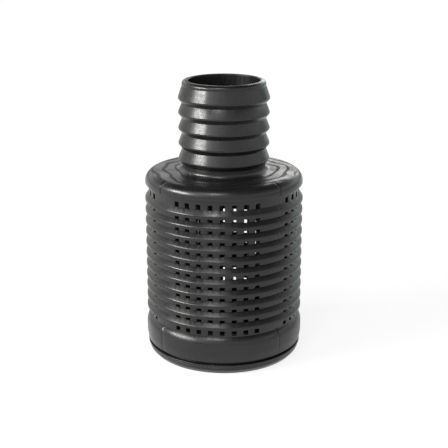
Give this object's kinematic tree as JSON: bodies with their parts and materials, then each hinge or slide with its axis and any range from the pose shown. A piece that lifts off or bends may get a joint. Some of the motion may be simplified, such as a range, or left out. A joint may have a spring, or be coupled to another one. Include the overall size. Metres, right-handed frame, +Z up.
{
  "type": "foot valve",
  "caption": "Suction foot valve: barbed hose tail on a shoulder flange, ribbed cylindrical strainer cage with slots, plain foot band, closed base plate and a hinged clapper inside.",
  "frame": {"origin": "centre of the base plate's underside", "axes": "+Z up along the valve's axis, towards the mouth of the hose tail; the clapper's hinge is on the +Y side"},
  "size_m": [0.0922, 0.092, 0.161],
  "materials": {
    "black_plastic": "semi-gloss black injection moulding",
    "valve_plastic": "satin dark grey moulding",
    "rubber": "matte black rubber",
    "steel": "plain stainless steel"
  },
  "bodies": {
    "valve": {"strainer_body": "black_plastic", "base_plate": "black_plastic", "base_screw_1": "steel", "base_screw_2": "steel", "base_screw_3": "steel", "base_screw_4": "steel", "seat_ring": "valve_plastic", "seat_oring": "rubber", "retaining_ring": "steel", "hinge_pin": "steel", "pin_clip_left": "steel", "pin_clip_right": "steel"},
    "clapper": {"clapper_arm": "valve_plastic", "clapper_disc": "steel", "clapper_seal": "rubber", "seal_washer": "steel", "clapper_screw": "steel", "clapper_nut": "steel"}
  },
  "joints": [
    {"name": "clapper_hinge", "type": "hinge", "parent": "valve", "child": "clapper", "pos_m": [0, 0.0158, 0.114], "axis": [-1, 0, 0], "range_deg": [0, 72]}
  ]
}
